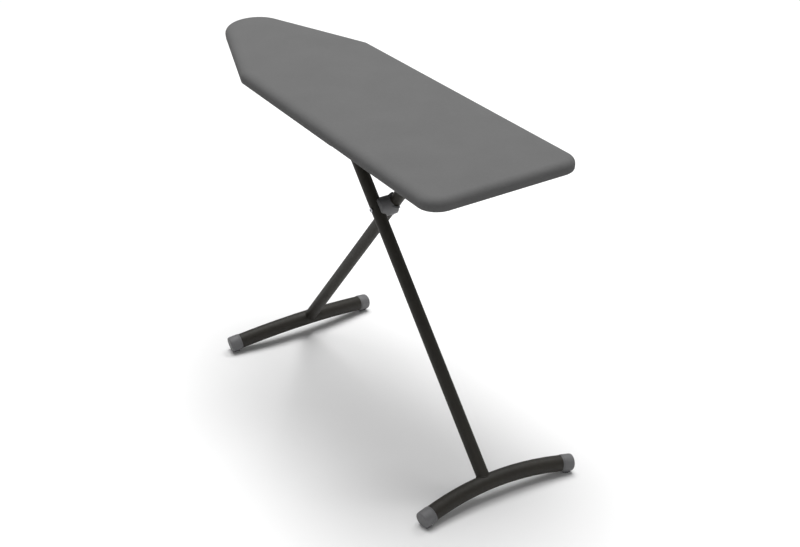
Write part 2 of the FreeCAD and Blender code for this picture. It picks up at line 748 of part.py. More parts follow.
def make_lever_grip():
    """Moulded grip pushed over the lever's arm."""
    start = Vector(carriage_x - lever_station - lever_reach - grip_end_wall, lever_side,
                   axle_height + lever_above_axle)
    grip = Part.makeCylinder(grip_radius, grip_length, start, X_AXIS)
    grip = grip.makeChamfer(grip_edge_cut, [grip.Edges[0], grip.Edges[2]])
    bore = Part.makeCylinder(lever_radius + moulding_fit, grip_length,
                             start + X_AXIS * grip_end_wall, X_AXIS)
    return grip.cut(bore)


def main():
    """Build every node and write it."""
    os.makedirs("parts", exist_ok=True)
    save("ironing_cover", make_cover())
    save("foam_pad", make_pad())
    save("steel_top", make_steel_top())
    save("rim_channel", make_rim_channel())
    for number, station in enumerate(stay_stations(), start=1):
        save("cross_stay_" + str(number), make_cross_stay(station))
    for name, side in (("left", 1), ("right", -1)):
        save("slide_rail_" + name, make_slide_rail(side))
        save("hinge_bracket_" + name, make_hinge_bracket(side))
        save("slide_shoe_" + name, make_slide_shoe(side))
    save("guide_rod", make_guide_rod())
    save("rod_bracket_front", make_rod_bracket(rail_front, -1))
    save("rod_bracket_rear", make_rod_bracket(rail_rear, 1))
    nose_leg = Leg(1)
    heel_leg = Leg(-1)
    for name, leg in (("nose_leg", nose_leg), ("heel_leg", heel_leg)):
        save(name + "_tube", leg.make_tube())
        save(name + "_axle", leg.make_axle())
        save(name + "_foot", leg.make_foot())
        save(name + "_top_plug", leg.make_top_plug())
        save(name + "_cap_left", leg.make_cap(1))
        save(name + "_cap_right", leg.make_cap(-1))
    save("pivot_saddle", make_pivot_saddle(heel_leg))
    save("pivot_sleeve", make_pivot_sleeve(nose_leg))
    save("pivot_rivet", make_pivot_rivet(heel_leg, nose_leg))
    save("pivot_washer", make_pivot_washer(nose_leg))
    save("axle_push_nuts", make_push_nuts(nose_leg))
    save("clutch_housing", make_clutch_housing())
    save("clutch_plates", make_clutch_plates())
    save("clutch_spring", make_clutch_spring())
    save("release_lever", make_release_lever())
    save("lever_grip", make_lever_grip())


main()
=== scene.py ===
"""Looks of a folding ironing board with crossed T legs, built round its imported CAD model.

Everything is in metres in the CAD model's own frame: +X towards the broad heel, +Y across, +Z up,
with the floor at zero. Sizes in the classes below are the maker's sizes.
"""
import json
import logging
import math
from dataclasses import dataclass
from enum import Enum
from functools import partial
from typing import Any, Callable, Optional, Sequence, Union

import bmesh
import bpy
import numpy as np
from mathutils import Matrix, Vector

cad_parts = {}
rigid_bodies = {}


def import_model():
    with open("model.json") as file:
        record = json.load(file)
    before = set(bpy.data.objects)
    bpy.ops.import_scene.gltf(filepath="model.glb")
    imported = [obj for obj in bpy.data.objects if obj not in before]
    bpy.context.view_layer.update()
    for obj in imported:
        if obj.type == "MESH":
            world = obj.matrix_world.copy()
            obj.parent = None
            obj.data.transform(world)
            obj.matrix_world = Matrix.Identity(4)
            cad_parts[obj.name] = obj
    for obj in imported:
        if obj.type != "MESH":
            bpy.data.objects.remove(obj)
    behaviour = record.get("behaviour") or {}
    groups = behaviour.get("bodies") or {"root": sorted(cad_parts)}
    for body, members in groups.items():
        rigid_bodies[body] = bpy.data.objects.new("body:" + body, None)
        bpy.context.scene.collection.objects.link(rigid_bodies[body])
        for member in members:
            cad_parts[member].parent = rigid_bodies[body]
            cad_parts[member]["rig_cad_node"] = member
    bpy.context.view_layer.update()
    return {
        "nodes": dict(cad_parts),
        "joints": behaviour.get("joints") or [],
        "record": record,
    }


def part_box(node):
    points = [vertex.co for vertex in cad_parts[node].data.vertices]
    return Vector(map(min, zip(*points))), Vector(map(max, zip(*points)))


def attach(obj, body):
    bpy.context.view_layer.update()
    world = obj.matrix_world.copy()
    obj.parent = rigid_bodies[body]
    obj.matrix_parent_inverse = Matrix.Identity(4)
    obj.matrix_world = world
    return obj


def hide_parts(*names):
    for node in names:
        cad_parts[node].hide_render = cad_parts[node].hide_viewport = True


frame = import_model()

MM = 0.001
JOIN_DISTANCE = 0.02 * MM
ALMOST_NOTHING = 0.01 * MM
FULL_TURN = 2.0 * math.pi
QUARTER_TURN = 0.5 * math.pi
DOWN = Vector((0.0, 0.0, -1.0))
FLAT_PATTERN = "flat_pattern"
NOISE_RANGE = {"From Min": 0.3, "From Max": 0.7}  # a noise texture's values seldom leave it
LOG = logging.getLogger("ironing_board")

Piece = bpy.types.Object
Material = bpy.types.Material
Node = bpy.types.Node
Source = Union[Node, bpy.types.NodeSocket]
Values = dict[Union[int, str], Any]
Links = dict[Union[int, str], Source]
AddNode = Callable[..., Node]
Mesh = tuple[np.ndarray, list[list[int]]]


# ---- colours and nodes -------------------------------------------------------------------------
def linear(hex_colour: str) -> tuple[float, float, float, float]:
    """Turn an sRGB hex colour into linear light.

    Args:
        hex_colour: six hex digits after a hash.

    Returns:
        Red, green, blue and alpha for a colour socket.
    """
    values = [int(hex_colour[start:start + 2], 16) / 255.0 for start in (1, 3, 5)]
    light = [v / 12.92 if v <= 0.04045 else ((v + 0.055) / 1.055) ** 2.4 for v in values]
    return light[0], light[1], light[2], 1.0


def per_metre(size_mm: float) -> float:
    """Scale of a pattern whose grains or cells are size_mm across."""
    return 1.0 / (size_mm * MM)


def bands(spacing_mm: float) -> float:
    """Scale of a wave texture whose bands are spacing_mm apart, at its own 20 radians a unit."""
    return FULL_TURN / 20.0 * per_metre(spacing_mm)


def add_node(tree: bpy.types.NodeTree, kind: str, values: Optional[Values] = None,
             links: Optional[Links] = None) -> Node:
    """Add one node with its settings and the links into it.

    Args:
        tree: the node tree that takes the node.
        kind: Blender's type name of the node.
        values: input values by socket name or index, and other settings by attribute name.
        links: what to join, by the input's name or index: a socket, or a node for its first output.

    Returns:
        The new node.
    """
    node = tree.nodes.new(kind)
    for name, value in (values or {}).items():
        if isinstance(name, int) or name in node.inputs:
            node.inputs[name].default_value = value
        else:
            setattr(node, name, value)
    for name, source in (links or {}).items():
        tree.links.new(source.outputs[0] if isinstance(source, Node) else source, node.inputs[name])
    return node


def start_material(name: str, cloth_map: str = "") -> tuple[Material, AddNode, Source]:
    """Start a material with an empty tree.

    Args:
        name: the material's name.
        cloth_map: UV map to take places from, or nothing for the object's own coordinates.

    Returns:
        The material, add_node for its tree and the source of places in metres.
    """
    material = bpy.data.materials.new(name)
    material.use_nodes = True
    material.node_tree.nodes.clear()
    add = partial(add_node, material.node_tree)
    if cloth_map:
        return material, add, add("ShaderNodeUVMap", {"uv_map": cloth_map})
    return material, add, add("ShaderNodeTexCoord").outputs["Object"]


def close_material(material: Material, values: Values, links: Links,
                   relief: Optional[tuple[Source, float, float]] = None) -> Material:
    """Close a material with its relief, its Principled shader and its output.

    Args:
        material: the material to close.
        values: values that are the same all over, by the shader's socket.
        links: what feeds the shader's other sockets.
        relief: what gives the height, how strongly it shows, and the height in millimetres.

    Returns:
        The same material.
    """
    add = partial(add_node, material.node_tree)
    if relief:
        height, strength, height_mm = relief
        bump = add("ShaderNodeBump", {"Strength": strength, "Distance": height_mm * MM},
                   {"Height": height})
        links = {**links, "Normal": bump}
    shader = add("ShaderNodeBsdfPrincipled", values, links)
    add("ShaderNodeOutputMaterial", links={"Surface": shader})
    return material


def mottled(add: AddNode, place: Source, size_mm: float, dark: str, light: str,
            detail: float = 3.0) -> Node:
    """Colour that drifts between two shades in soft patches.

    Args:
        add: adds a node to the material's tree.
        place: coordinates in metres.
        size_mm: width of a patch.
        dark: hex colour of the darker shade.
        light: hex colour of the lighter shade.
        detail: octaves of finer variation.

    Returns:
        The node that gives the colour.
    """
    noise = add("ShaderNodeTexNoise", {"Scale": per_metre(size_mm), "Detail": detail}, {"Vector": place})
    ramp = add("ShaderNodeValToRGB", links={"Fac": noise})
    for stop, position, shade in zip(ramp.color_ramp.elements, NOISE_RANGE.values(), (dark, light)):
        stop.position = position
        stop.color = linear(shade)
    return ramp


# ---- finishes ----------------------------------------------------------------------------------
@dataclass(frozen=True)
class WovenCotton:
    """Dyed plain-weave cotton of the cover: matt, with a faint nap that lights up at grazing angles, and
    painted shade between its threads.
    """

    name: str = "woven_cotton_dark_grey"
    shade_dark: str = "#575757"
    shade_light: str = "#5A5A5A"
    thread_mm: float = 1.5
    relief_mm: float = 0.12
    dye_patch_mm: float = 120.0
    slub_mm: float = 9.0

    def make(self) -> Material:
        """Build the cloth. Real threads are 0.5 mm apart and are drawn three times as coarse to show.

        Returns:
            The material, which reads the cloth's flat pattern as its UV map.
        """
        material, add, flat = start_material(self.name, FLAT_PATTERN)
        warp, weft = [add("ShaderNodeTexWave", {"Scale": bands(self.thread_mm), "bands_direction": way},
                          {"Vector": flat}).outputs["Fac"] for way in ("X", "Y")]
        over_under = add("ShaderNodeTexChecker", {"Scale": per_metre(self.thread_mm)}, {"Vector": flat})
        weave = add("ShaderNodeMix", {"data_type": "FLOAT"},
                    {0: over_under.outputs["Fac"], 2: warp, 3: weft})
        dye = mottled(add, flat, self.dye_patch_mm, self.shade_dark, self.shade_light)
        slub = add("ShaderNodeTexNoise", {"Scale": per_metre(self.slub_mm), "Detail": 4.0},
                   {"Vector": flat})
        # Painted shade: the weave's height darkens the colour between the threads and lightens it on
        # their crowns.
        painted_weave_shade = add("ShaderNodeMapRange", {"To Min": 0.93, "To Max": 1.03}, {"Value": weave})
        slub_shade = add("ShaderNodeMapRange", {**NOISE_RANGE, "To Min": 0.97, "To Max": 1.03},
                         {"Value": slub})
        # shade multiplies the painted weave shade with the slub variation.
        shade = add("ShaderNodeMath", {"operation": "MULTIPLY"}, {0: painted_weave_shade, 1: slub_shade})
        colour = add("ShaderNodeVectorMath", {"operation": "SCALE"}, {0: dye, "Scale": shade})
        height = add("ShaderNodeMath", {"operation": "ADD"}, {0: weave, 1: slub})
        rough = add("ShaderNodeMapRange", {"To Min": 0.82, "To Max": 0.92}, {"Value": slub})
        return close_material(
            material, {"Specular IOR Level": 0.15, "Sheen Weight": 0.03, "Sheen Roughness": 0.5},
            {"Base Color": colour, "Roughness": rough}, (height, 0.6, self.relief_mm))


@dataclass(frozen=True)
class SpunThread:
    """Spun polyester sewing thread: soft and matt, with slanting grooves between its twisted plies, whose
    shade is painted into its colour.
    """

    name: str = "spun_polyester_thread"
    # shade_dark is painted shade in the grooves between the plies; shade_light is painted light on their
    # crowns.
    shade_dark: str = "#464646"
    shade_light: str = "#626262"
    ply_mm: float = 0.7
    relief_mm: float = 0.08

    def make(self) -> Material:
        """Build the thread. Real plies are 0.2 mm wide and are drawn coarser to show.

        Returns:
            The material.
        """
        material, add, place = start_material(self.name)
        plies = add("ShaderNodeTexWave", {"Scale": bands(self.ply_mm), "bands_direction": "DIAGONAL",
                                          "Distortion": 0.6}, {"Vector": place}).outputs["Fac"]
        # Painted shade: the ramp darkens the colour in the grooves and lightens it on the plies' crowns,
        # along the relief's bands.
        ramp = add("ShaderNodeValToRGB", links={"Fac": plies})
        for stop, shade in zip(ramp.color_ramp.elements, (self.shade_dark, self.shade_light)):
            stop.color = linear(shade)
        return close_material(material, {"Roughness": 0.78, "Sheen Weight": 0.15}, {"Base Color": ramp},
                              (plies, 0.6, self.relief_mm))


@dataclass(frozen=True)
class NeedledFelt:
    """Pale polyester felt laminated to foam: fuzzy, with fibres matted in every direction."""

    name: str = "needled_felt_pale"
    shade_dark: str = "#8F8B82"
    shade_light: str = "#A8A49A"
    fibre_mm: float = 1.1
    relief_mm: float = 0.4

    def make(self) -> Material:
        """Build the felt.

        Returns:
            The material.
        """
        material, add, place = start_material(self.name)
        tuft_mm = 3.0 * self.fibre_mm
        colour = mottled(add, place, tuft_mm, self.shade_dark, self.shade_light, detail=6.0)
        fibres = add("ShaderNodeTexNoise", {"Scale": per_metre(self.fibre_mm), "Detail": 8.0,
                                            "Distortion": 2.0}, {"Vector": place})
        return close_material(material, {"Roughness": 0.95, "Sheen Weight": 0.3},
                              {"Base Color": colour}, (fibres, 0.8, self.relief_mm))


@dataclass(frozen=True)
class PowderCoat:
    """Baked powder coat on steel: an even satin skin with the fine ripple of orange peel."""

    name: str
    shade_dark: str
    shade_light: str
    roughness: float
    peel_mm: float = 1.8
    relief_mm: float = 0.05
    drift_mm: float = 70.0
    scuff_mm: float = 14.0

    def make(self) -> Material:
        """Build the coat. Scuffs dull it in streaks, and the peel breaks up its highlights.

        Returns:
            The material.
        """
        material, add, place = start_material(self.name)
        colour = mottled(add, place, self.drift_mm, self.shade_dark, self.shade_light, detail=5.0)
        peel = add("ShaderNodeTexNoise", {"Scale": per_metre(self.peel_mm), "Detail": 2.0},
                   {"Vector": place})
        scuff = add("ShaderNodeTexNoise", {"Scale": per_metre(self.scuff_mm), "Detail": 9.0,
                                           "Roughness": 0.7, "Distortion": 1.5}, {"Vector": place})
        rough = add("ShaderNodeMapRange",
                    {"From Min": 0.35, "From Max": 0.7, "To Min": self.roughness - 0.05,
                     "To Max": self.roughness + 0.09}, {"Value": scuff})
        return close_material(material, {"IOR": 1.5}, {"Base Color": colour, "Roughness": rough},
                              (peel, 0.5, self.relief_mm))


@dataclass(frozen=True)
class MouldedPlastic:
    """Injection-moulded polypropylene or nylon: the mould's spark-eroded grain leaves it softly matt."""

    name: str
    shade_dark: str
    shade_light: str
    roughness: float
    grain_mm: float = 0.9
    relief_mm: float = 0.06
    flow_mm: float = 16.0
    handling_mm: float = 6.0

    def make(self) -> Material:
        """Build the plastic. Real mould grain is 0.2 mm and is drawn coarser to show.

        Returns:
            The material.
        """
        material, add, place = start_material(self.name)
        colour = mottled(add, place, self.flow_mm, self.shade_dark, self.shade_light)
        grain = add("ShaderNodeTexVoronoi", {"Scale": per_metre(self.grain_mm)}, {"Vector": place})
        handling = add("ShaderNodeTexNoise", {"Scale": per_metre(self.handling_mm), "Detail": 6.0},
                       {"Vector": place})
        rough = add("ShaderNodeMapRange", {**NOISE_RANGE, "To Min": self.roughness - 0.06,
                                           "To Max": self.roughness + 0.06}, {"Value": handling})
        return close_material(material, {"IOR": 1.49}, {"Base Color": colour, "Roughness": rough},
                              (grain, 0.45, self.relief_mm))


@dataclass(frozen=True)
class ZincPlate:
    """Bright zinc plate on pressed steel: silvery, with faint cloudy crystals from the bath."""

    name: str = "zinc_plate_bright"
    shade_dark: str = "#A9ABB0"
    shade_light: str = "#C9CBD0"
    crystal_mm: float = 5.0

    def make(self) -> Material:
        """Build the plate.

        Returns:
            The material.
        """
        material, add, place = start_material(self.name)
        colour = mottled(add, place, self.crystal_mm, self.shade_dark, self.shade_light)
        cloud = add("ShaderNodeTexNoise", {"Scale": per_metre(self.crystal_mm / 2.0), "Detail": 6.0},
                    {"Vector": place})
        rough = add("ShaderNodeMapRange", {"To Min": 0.24, "To Max": 0.46}, {"Value": cloud})
        return close_material(material, {"Metallic": 1.0}, {"Base Color": colour, "Roughness": rough})


@dataclass(frozen=True)
class GroundSteel:
    """Centreless-ground bar: bright steel whose fine rings round the bar draw the light out along it."""

    name: str = "ground_steel_bar"
    shade: str = "#BFC0C2"
    ring_mm: float = 0.8
    ring_length_mm: float = 25.0
    relief_mm: float = 0.02

    def make(self) -> Material:
        """Build the bar's surface. Real grinding marks are finer and are drawn wider to show.

        Returns:
            The material, with its rings square to X.
        """
        material, add, place = start_material(self.name)
        long_way = per_metre(self.ring_length_mm)
        stretch = add("ShaderNodeMapping", {"Scale": (per_metre(self.ring_mm), long_way, long_way)},
                      {"Vector": place})
        rings = add("ShaderNodeTexNoise", {"Scale": 1.0, "Detail": 4.0}, {"Vector": stretch})
        rough = add("ShaderNodeMapRange", {"To Min": 0.16, "To Max": 0.34}, {"Value": rings})
        return close_material(material, {"Base Color": linear(self.shade), "Metallic": 1.0},
                              {"Roughness": rough}, (rings, 0.3, self.relief_mm))


@dataclass(frozen=True)
class StudioPaper:
    """Matt seamless paper under the board, with a trace of tone so that it isn't dead flat."""

    name: str = "studio_paper_white"
    shade_dark: str = "#E8E8E8"
    shade_light: str = "#EEEEEE"
    tone_mm: float = 900.0

    def make(self) -> Material:
        """Build the paper.

        Returns:
            The material.
        """
        material, add, place = start_material(self.name)
        colour = mottled(add, place, self.tone_mm, self.shade_dark, self.shade_light)
        return close_material(material, {"Roughness": 0.9}, {"Base Color": colour})


class Finish(Enum):
    """The finishes on this board, named as the record's slots; thread shares the cloth's slot."""

    COVER = "cover_cloth"
    THREAD = "sewing_thread"
    FELT = "pad_foam"
    GREY_ENAMEL = "grey_enamel"
    BLACK_COAT = "black_powder_coat"
    GREY_PLASTIC = "grey_plastic"
    BLACK_PLASTIC = "black_plastic"
    ZINC = "zinc_plated_steel"
    GROUND = "ground_steel"

    @property
    def slot(self) -> str:
        """The record's slot that this finish stands for."""
        return Finish.COVER.value if self is Finish.THREAD else self.value


class Palette:
    """Makes each finish once and puts it on pieces."""

    def __init__(self) -> None:
        """Build every finish."""
        recipes = {
            Finish.COVER: WovenCotton(),
            Finish.THREAD: SpunThread(),
            Finish.FELT: NeedledFelt(),
            Finish.GREY_ENAMEL: PowderCoat("grey_enamel_on_sheet", "#323233", "#383839", 0.46, 1.4),
            Finish.BLACK_COAT: PowderCoat("black_satin_powder_coat", "#17130A", "#1D190F", 0.62),
            Finish.GREY_PLASTIC: MouldedPlastic("moulded_polypropylene_grey", "#606061", "#676768", 0.55),
            Finish.BLACK_PLASTIC: MouldedPlastic("moulded_nylon_black", "#161616", "#1D1D1D", 0.48),
            Finish.ZINC: ZincPlate(),
            Finish.GROUND: GroundSteel(),
        }
        self.materials = {finish: recipe.make() for finish, recipe in recipes.items()}

    def dress(self, piece: Piece, finish: Finish) -> None:
        """Give a piece its finish.

        Args:
            piece: a mesh object.
            finish: the finish for all of it.
        """
        piece.data.materials.clear()
        piece.data.materials.append(self.materials[finish])

    def fit(self, piece: Piece, finish: Finish, body: str) -> None:
        """Dress a new piece, let it ride on a body and report it.

        Args:
            piece: a mesh object.
            finish: the finish for all of it.
            body: the CAD body that it moves with.
        """
        self.dress(piece, finish)
        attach(piece, body)
        LOG.info("%s on %s: %d faces", piece.name, body, len(piece.data.polygons))

    def dress_frame(self) -> None:
        """Give every CAD node the finish of the slot that the record names for it."""
        by_slot = {finish.value: finish for finish in Finish}
        for part in frame["record"]["subparts"]:
            node = frame["nodes"][part["node"]]
            self.dress(node, by_slot[part["material_slot"]])
            LOG.info("CAD node %s: %s", part["node"], part["material_slot"])


# ---- mesh making -------------------------------------------------------------------------------
def mesh_piece(name: str, points: np.ndarray, faces: Sequence[Sequence[int]],
               flat_pattern: Optional[np.ndarray] = None) -> Piece:
    """Make a smooth-shaded mesh object, with points that meet joined and closed forms facing out.

    Args:
        name: the piece's name.
        points: vertex places, one row each.
        faces: vertex numbers round each face.
        flat_pattern: places on the flat cut, one row for each vertex, kept as the UV map.

    Returns:
        The object, linked to the scene.
    """
    mesh = bpy.data.meshes.new(name)
    mesh.from_pydata([tuple(p) for p in points], [], [tuple(f) for f in faces])
    if flat_pattern is not None:
        layer = mesh.uv_layers.new(name=FLAT_PATTERN)
        corners = np.array([loop.vertex_index for loop in mesh.loops])
        layer.data.foreach_set("uv", flat_pattern[corners].astype(np.float32).ravel())
    form = bmesh.new()
    form.from_mesh(mesh)
    bmesh.ops.remove_doubles(form, verts=form.verts, dist=JOIN_DISTANCE)
    if all(edge.is_manifold for edge in form.edges):
        bmesh.ops.recalc_face_normals(form, faces=form.faces)
    form.to_mesh(mesh)
    form.free()
    mesh.polygons.foreach_set("use_smooth", [True] * len(mesh.polygons))
    mesh.validate()
    mesh.update()
    piece = bpy.data.objects.new(name, mesh)
    bpy.context.scene.collection.objects.link(piece)
    return piece


def tube_faces(rings: int, around: int, rings_join: bool = False) -> list[list[int]]:
    """Quads between successive closed rings of points.

    Args:
        rings: number of rings.
        around: points in each ring.
        rings_join: whether the last ring joins the first one.

    Returns:
        The faces, in order along the rings.
    """
    faces = []
    for ring in range(rings if rings_join else rings - 1):
        here, there = ring * around, ((ring + 1) % rings) * around
        for spot in range(around):
            after = (spot + 1) % around
            faces.append([here + spot, here + after, there + after, there + spot])
    return faces


def turned(profile: Sequence[tuple[float, float]], base: Vector, axis: Vector,
           around: int = 40) -> Mesh:
    """Turn a profile about an axis, closed at both ends.

    Args:
        profile: pairs of distance along the axis and radius; the two ends are closed by a point.
        base: where the axis starts.
        axis: direction of the axis.
        around: points in each ring.

    Returns:
        Points and faces.
    """
    spin = axis.to_track_quat("Z", "Y").to_matrix()
    points = []
    for along, radius in profile:
        for spot in range(around):
            angle = FULL_TURN * spot / around
            ring = Vector((radius * math.cos(angle), radius * math.sin(angle), along))
            points.append(base + spin @ ring)
    faces = tube_faces(len(profile), around)
    for end in (0, len(profile) - 1):
        centre = len(points)
        points.append(base + spin @ Vector((0.0, 0.0, profile[end][0])))
        for spot in range(around):
            here, after = end * around + spot, end * around + (spot + 1) % around
            faces.append([here, centre, after] if end == 0 else [after, centre, here])
    return np.array([tuple(p) for p in points]), faces


def swept(path: np.ndarray, radius: Callable[[int], float], sides: int, closed: bool) -> Mesh:
    """Carry a round section along a path.

    Args:
        path: points of the path, one row each.
        radius: the section's radius at each point of the path.
        sides: points round the section.
        closed: whether the path runs back into itself.

    Returns:
        Points and faces, with flat ends on an open path.
    """
    ahead = np.roll(path, -1, axis=0) - np.roll(path, 1, axis=0)
    if not closed:
        ahead[0] = path[1] - path[0]
        ahead[-1] = path[-1] - path[-2]
    ahead /= np.linalg.norm(ahead, axis=1)[:, None]
    off_axis = [0.3, 0.5, 0.81]  # in line with no part of any path here
    side = np.cross(ahead[0], off_axis)
    points = []
    for spot, centre in enumerate(path):
        side = side - ahead[spot] * float(side @ ahead[spot])
        side = side / np.linalg.norm(side)
        across = np.cross(ahead[spot], side)
        for step in range(sides):
            angle = FULL_TURN * step / sides
            points.append(centre + radius(spot) * (math.cos(angle) * side + math.sin(angle) * across))
    faces = tube_faces(len(path), sides, rings_join=closed)
    if not closed:
        faces.append(list(range(sides))[::-1])
        faces.append([(len(path) - 1) * sides + step for step in range(sides)])
    return np.array(points), faces


def joined(parts: Sequence[Mesh]) -> Mesh:
    """Put several meshes into one list of points and faces.

    Args:
        parts: points and faces of each mesh.

    Returns:
        Points and faces of them all.
    """
    faces, first = [], 0
    for points, part_faces in parts:
        faces.extend([[first + corner for corner in face] for face in part_faces])
        first += len(points)
    return np.concatenate([points for points, _ in parts]), faces


# ---- board -------------------------------------------------------------------------------------
@dataclass(frozen=True)
class BoardOutline:
    """Plan of the board: a broad heel with rounded corners, straight tapering sides and a round nose."""

    length: float
    heel_width: float
    heel_corner: float = 50.0 * MM
    shoulder_width: float = 373.0 * MM
    shoulder_radius: float = 30.0 * MM
    shoulder_from_heel: float = 890.0 * MM
    nose_radius: float = 83.0 * MM
    step: float = 8.0 * MM
    arc_step_degrees: float = 6.0

    def circles(self) -> list[tuple[np.ndarray, float]]:
        """List the circles that the outline wraps.

        Returns:
            Pairs of centre and radius, anticlockwise from the heel.
        """
        heel = np.array([self.length / 2.0 - self.heel_corner, self.heel_width / 2.0 - self.heel_corner])
        shoulder = np.array([self.length / 2.0 - self.shoulder_from_heel,
                             self.shoulder_width / 2.0 - self.shoulder_radius])
        nose = np.array([self.nose_radius - self.length / 2.0, 0.0])
        mirror = np.array([1.0, -1.0])
        return [(heel, self.heel_corner), (shoulder, self.shoulder_radius), (nose, self.nose_radius),
                (shoulder * mirror, self.shoulder_radius), (heel * mirror, self.heel_corner)]

    def walk(self) -> tuple[np.ndarray, np.ndarray]:
        """Walk round the outline.

        Returns:
            Points on the outline and the outward normal at each, evenly enough spaced for a mesh.
        """
        circles = self.circles()
        following = circles[1:] + circles[:1]
        leaves = []
        for (centre, radius), (next_centre, next_radius) in zip(circles, following):
            run = next_centre - centre
            turn = math.acos((radius - next_radius) / float(np.linalg.norm(run)))
            leaves.append(math.atan2(run[1], run[0]) - turn)
        points, normals = [], []
        for index, (centre, radius) in enumerate(circles):
            start, end = leaves[index - 1], leaves[index]
            sweep = (end - start) % FULL_TURN
            stops = 2 * math.ceil(math.degrees(sweep) / self.arc_step_degrees / 2.0)
            for stop in range(stops):
                angle = start + sweep * stop / stops
                normals.append(np.array([math.cos(angle), math.sin(angle)]))
                points.append(centre + normals[-1] * radius)
            normal = np.array([math.cos(end), math.sin(end)])
            begin = centre + normal * radius
            finish = following[index][0] + normal * following[index][1]
            stops = 2 * math.ceil(float(np.linalg.norm(finish - begin)) / self.step / 2.0)
            for stop in range(stops):
                points.append(begin + (finish - begin) * stop / stops)
                normals.append(normal)
        return np.array(points), np.array(normals)

    def spine(self, points: np.ndarray) -> np.ndarray:
        """Work out where on the board's middle line each outline point shrinks to.

        Args:
            points: points on the outline.

        Returns:
            The place for each point.
        """
        heel_end = self.length / 2.0 - self.heel_width / 2.0
        nose_end = self.nose_radius - self.length / 2.0
        along = np.clip(points[:, 0], nose_end, heel_end)
        return np.stack([along, np.zeros(len(points))], axis=1)


